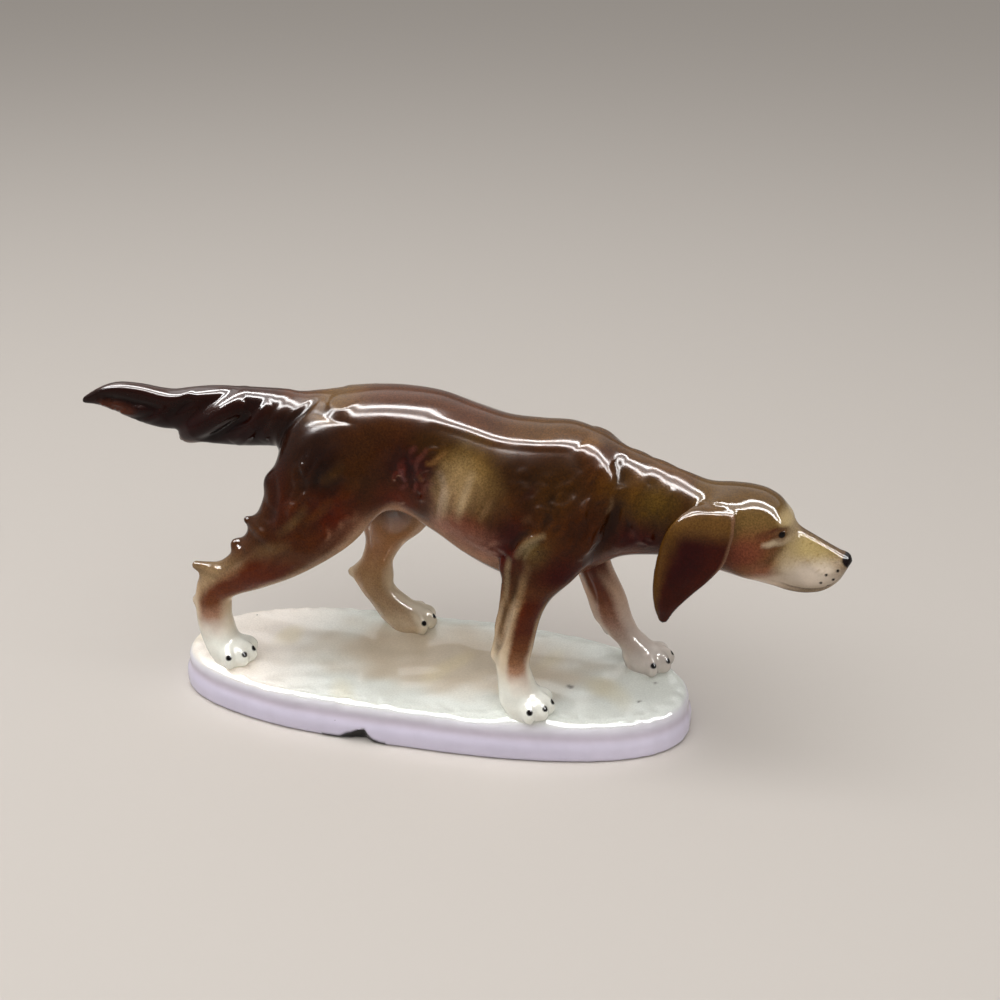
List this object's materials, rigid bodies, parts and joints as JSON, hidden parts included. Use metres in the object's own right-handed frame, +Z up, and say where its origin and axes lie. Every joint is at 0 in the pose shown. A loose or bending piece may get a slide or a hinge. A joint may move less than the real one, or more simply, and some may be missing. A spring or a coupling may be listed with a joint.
{
  "type": "porcelain dog figurine",
  "caption": "Glazed porcelain figurine of a stalking setter with lowered head and level feathered tail, standing on a low oval plinth, made to be set on a shelf as an ornament.",
  "frame": {"origin": "middle of the figurine's bounding box, on the surface that the plinth stands on", "axes": "+X along the plinth towards the dog's nose, +Y to the dog's left, +Z up"},
  "size_m": [0.2406, 0.06, 0.105],
  "materials": {
    "ivory_glaze": "white porcelain under a clear gloss glaze, lightly sprayed with ivory and grey on top",
    "coat_glaze": "sprayed brown under a clear gloss glaze, paler over the ribs",
    "face_glaze": "sprayed brown skull and cream muzzle under a clear gloss glaze, with a hand-painted black nose and eyes",
    "ear_glaze": "sprayed dark brown under a clear gloss glaze",
    "flag_glaze": "sprayed brown-black under a clear gloss glaze",
    "leg_glaze": "brown fading to cream paws under a clear gloss glaze, with hand-painted black claws"
  },
  "bodies": {
    "root": {"plinth": "ivory_glaze", "torso": "coat_glaze", "head": "face_glaze", "ear_left": "ear_glaze", "ear_right": "ear_glaze", "tail": "flag_glaze", "foreleg_left": "leg_glaze", "foreleg_right": "leg_glaze", "hindleg_left": "leg_glaze", "hindleg_right": "leg_glaze"}
  },
  "joints": []
}
